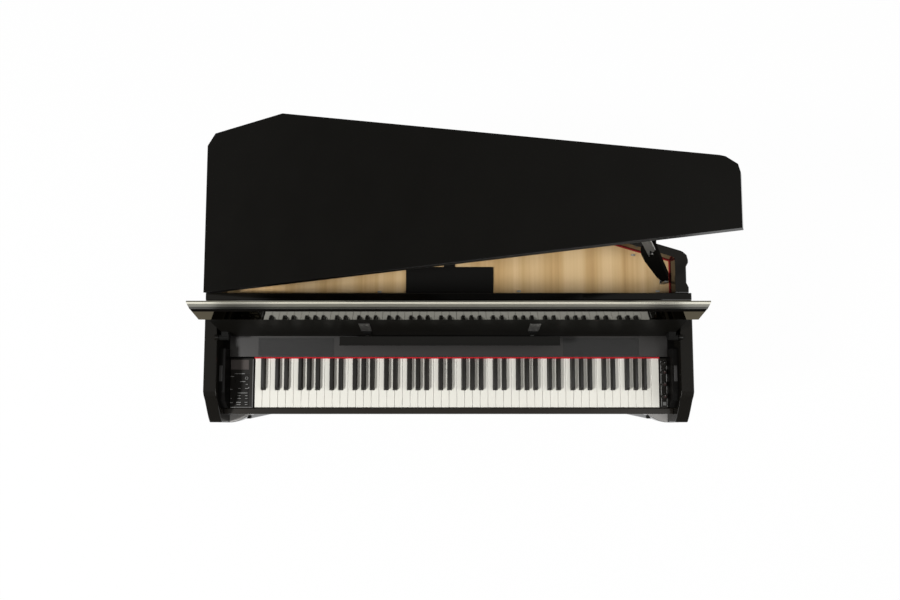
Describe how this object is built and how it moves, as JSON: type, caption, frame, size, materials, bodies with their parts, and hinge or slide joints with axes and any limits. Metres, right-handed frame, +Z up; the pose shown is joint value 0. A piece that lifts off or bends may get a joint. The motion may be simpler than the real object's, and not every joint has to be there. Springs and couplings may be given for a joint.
{
  "type": "digital grand piano",
  "caption": "Compact black digital grand piano with an open hinged lid on a folding stay, a spruce soundboard, a folding fallboard, a full keyboard, legs and pedals.",
  "frame": {"origin": "on the floor, under the middle of the piano's width and depth as it stands with its lid open", "axes": "+Z up, -Y towards the player, +X towards the treble (the player's right)"},
  "size_m": [1.434, 0.855, 1.5234],
  "materials": {
    "gloss_black": "polished black lacquer over wood board",
    "satin_black": "satin black moulded plastic and painted board",
    "spruce": "clear satin lacquer over straight-grained softwood",
    "red_felt": "pressed red wool felt",
    "soft_grey": "soft grey rubber",
    "smoked_window": "smoked clear window over a small display",
    "bright_metal": "brushed bright metal",
    "brass": "polished brass plate",
    "key_white": "white key resin with a light sheen",
    "key_black": "black key resin with a light sheen"
  },
  "bodies": {
    "case": {"left_arm": "gloss_black", "right_arm": "gloss_black", "rim": "gloss_black", "front_crossboard": "gloss_black", "key_slip": "gloss_black", "left_front_leg": "gloss_black", "right_front_leg": "gloss_black", "tail_leg": "gloss_black", "pedal_lyre": "gloss_black", "pedal_box": "gloss_black", "bottom_board": "satin_black", "keybed": "satin_black", "centre_cover": "satin_black", "left_control_panel": "satin_black", "right_control_panel": "satin_black", "speaker_panel": "satin_black", "left_grille": "satin_black", "right_grille": "satin_black", "soundboard": "spruce", "edge_felt": "red_felt", "key_felt": "red_felt", "button_pad": "soft_grey", "display": "smoked_window", "stay_foot_bracket": "bright_metal", "lid_hinge_body_leaf": "brass", "lyre_brace": "brass", "fixed_keys": "key_white"},
    "lid": {"lid": "gloss_black", "lid_hinge_lid_leaf": "brass", "stay_lid_bracket": "bright_metal"},
    "stay_lower": {"stay_lower_link": "gloss_black", "elbow_plate": "bright_metal"},
    "stay_upper": {"stay_upper_link": "gloss_black"},
    "fallboard": {"fallboard": "gloss_black", "fallboard_lip": "bright_metal", "left_fallboard_pivot": "bright_metal", "right_fallboard_pivot": "bright_metal", "left_shelf_hinge": "bright_metal", "right_shelf_hinge": "bright_metal"},
    "music_shelf": {"music_shelf": "gloss_black"},
    "soft_pedal": {"soft_pedal": "brass"},
    "sostenuto_pedal": {"sostenuto_pedal": "brass"},
    "damper_pedal": {"damper_pedal": "brass"},
    "knob_1": {"knob_1": "satin_black"},
    "knob_2": {"knob_2": "satin_black"},
    "knob_3": {"knob_3": "satin_black"},
    "knob_4": {"knob_4": "satin_black"},
    "power_switch": {"power_switch": "satin_black"},
    "key_c4": {"key_c4": "key_white"},
    "key_d4": {"key_d4": "key_white"},
    "key_e4": {"key_e4": "key_white"},
    "key_f4": {"key_f4": "key_white"},
    "key_g4": {"key_g4": "key_white"},
    "key_a4": {"key_a4": "key_white"},
    "key_b4": {"key_b4": "key_white"},
    "key_c_sharp4": {"key_c_sharp4": "key_black"},
    "key_d_sharp4": {"key_d_sharp4": "key_black"},
    "key_f_sharp4": {"key_f_sharp4": "key_black"},
    "key_g_sharp4": {"key_g_sharp4": "key_black"},
    "key_a_sharp4": {"key_a_sharp4": "key_black"}
  },
  "joints": [
    {"name": "lid_hinge", "type": "hinge", "parent": "case", "child": "lid", "pos_m": [-0.707, 0.1705, 0.80315], "axis": [0, -1, 0], "range_deg": [-29.4, 0]},
    {"name": "stay_lower_pivot", "type": "hinge", "parent": "case", "child": "stay_lower", "pos_m": [0.645, 0.0065, 0.7888], "axis": [0, -1, 0], "range_deg": [0, 66.62]},
    {"name": "stay_upper_pivot", "type": "hinge", "parent": "lid", "child": "stay_upper", "pos_m": [0.38035, 0.025, 1.39937], "axis": [0, -1, 0], "range_deg": [-84.08, 0]},
    {"name": "fallboard_hinge", "type": "hinge", "parent": "case", "child": "fallboard", "pos_m": [0, -0.174, 0.803], "axis": [1, 0, 0], "range_deg": [0, 108.9]},
    {"name": "music_shelf_hinge", "type": "hinge", "parent": "fallboard", "child": "music_shelf", "pos_m": [0, -0.1673, 0.80232], "axis": [-1, 0, 0], "range_deg": [0, 98]},
    {"name": "soft_pedal_press", "type": "hinge", "parent": "case", "child": "soft_pedal", "pos_m": [-0.07, -0.2295, 0.085], "axis": [1, 0, 0], "range_deg": [0, 6], "stiffness_Nm_per_rad": 30, "springref_deg": -6.88},
    {"name": "sostenuto_pedal_press", "type": "hinge", "parent": "case", "child": "sostenuto_pedal", "pos_m": [0, -0.2295, 0.085], "axis": [1, 0, 0], "range_deg": [0, 6], "stiffness_Nm_per_rad": 30, "springref_deg": -6.88},
    {"name": "damper_pedal_press", "type": "hinge", "parent": "case", "child": "damper_pedal", "pos_m": [0.07, -0.2295, 0.085], "axis": [1, 0, 0], "range_deg": [0, 6], "stiffness_Nm_per_rad": 30, "springref_deg": -6.88},
    {"name": "key_c4_press", "type": "hinge", "parent": "case", "child": "key_c4", "pos_m": [-0.03407, -0.1445, 0.725], "axis": [1, 0, 0], "range_deg": [0, 2.4], "stiffness_Nm_per_rad": 2, "springref_deg": -6.88},
    {"name": "key_d4_press", "type": "hinge", "parent": "case", "child": "key_d4", "pos_m": [-0.01053, -0.1445, 0.725], "axis": [1, 0, 0], "range_deg": [0, 2.4], "stiffness_Nm_per_rad": 2, "springref_deg": -6.88},
    {"name": "key_e4_press", "type": "hinge", "parent": "case", "child": "key_e4", "pos_m": [0.01303, -0.1445, 0.725], "axis": [1, 0, 0], "range_deg": [0, 2.4], "stiffness_Nm_per_rad": 2, "springref_deg": -6.88},
    {"name": "key_f4_press", "type": "hinge", "parent": "case", "child": "key_f4", "pos_m": [0.03658, -0.1445, 0.725], "axis": [1, 0, 0], "range_deg": [0, 2.4], "stiffness_Nm_per_rad": 2, "springref_deg": -6.88},
    {"name": "key_g4_press", "type": "hinge", "parent": "case", "child": "key_g4", "pos_m": [0.06012, -0.1445, 0.725], "axis": [1, 0, 0], "range_deg": [0, 2.4], "stiffness_Nm_per_rad": 2, "springref_deg": -6.88},
    {"name": "key_a4_press", "type": "hinge", "parent": "case", "child": "key_a4", "pos_m": [0.08368, -0.1445, 0.725], "axis": [1, 0, 0], "range_deg": [0, 2.4], "stiffness_Nm_per_rad": 2, "springref_deg": -6.88},
    {"name": "key_b4_press", "type": "hinge", "parent": "case", "child": "key_b4", "pos_m": [0.10723, -0.1445, 0.725], "axis": [1, 0, 0], "range_deg": [0, 2.4], "stiffness_Nm_per_rad": 2, "springref_deg": -6.88},
    {"name": "key_c_sharp4_press", "type": "hinge", "parent": "case", "child": "key_c_sharp4", "pos_m": [-0.0241, -0.1445, 0.725], "axis": [1, 0, 0], "range_deg": [0, 2.4], "stiffness_Nm_per_rad": 2, "springref_deg": -6.88},
    {"name": "key_d_sharp4_press", "type": "hinge", "parent": "case", "child": "key_d_sharp4", "pos_m": [0.00295, -0.1445, 0.725], "axis": [1, 0, 0], "range_deg": [0, 2.4], "stiffness_Nm_per_rad": 2, "springref_deg": -6.88},
    {"name": "key_f_sharp4_press", "type": "hinge", "parent": "case", "child": "key_f_sharp4", "pos_m": [0.04585, -0.1445, 0.725], "axis": [1, 0, 0], "range_deg": [0, 2.4], "stiffness_Nm_per_rad": 2, "springref_deg": -6.88},
    {"name": "key_g_sharp4_press", "type": "hinge", "parent": "case", "child": "key_g_sharp4", "pos_m": [0.0719, -0.1445, 0.725], "axis": [1, 0, 0], "range_deg": [0, 2.4], "stiffness_Nm_per_rad": 2, "springref_deg": -6.88},
    {"name": "key_a_sharp4_press", "type": "hinge", "parent": "case", "child": "key_a_sharp4", "pos_m": [0.09805, -0.1445, 0.725], "axis": [1, 0, 0], "range_deg": [0, 2.4], "stiffness_Nm_per_rad": 2, "springref_deg": -6.88},
    {"name": "knob_1_turn", "type": "hinge", "parent": "case", "child": "knob_1", "pos_m": [0.64935, -0.3477, 0.74], "axis": [0, 0, 1], "range_deg": [-140, 140]},
    {"name": "knob_2_turn", "type": "hinge", "parent": "case", "child": "knob_2", "pos_m": [0.64935, -0.311, 0.74], "axis": [0, 0, 1], "range_deg": [-140, 140]},
    {"name": "knob_3_turn", "type": "hinge", "parent": "case", "child": "knob_3", "pos_m": [0.64935, -0.2744, 0.74], "axis": [0, 0, 1], "range_deg": [-140, 140]},
    {"name": "knob_4_turn", "type": "hinge", "parent": "case", "child": "knob_4", "pos_m": [0.64935, -0.2489, 0.74], "axis": [0, 0, 1], "range_deg": [-140, 140]},
    {"name": "power_switch_press", "type": "slide", "parent": "case", "child": "power_switch", "axis": [0, 0, -1], "range_m": [0, 0.002], "stiffness_N_per_m": 900, "springref_m": -0.001}
  ],
  "couplings": [
    {"joint": "stay_lower_pivot", "follows": "lid_hinge", "ratio": -2.2641},
    {"joint": "stay_upper_pivot", "follows": "lid_hinge", "ratio": 2.8583}
  ]
}
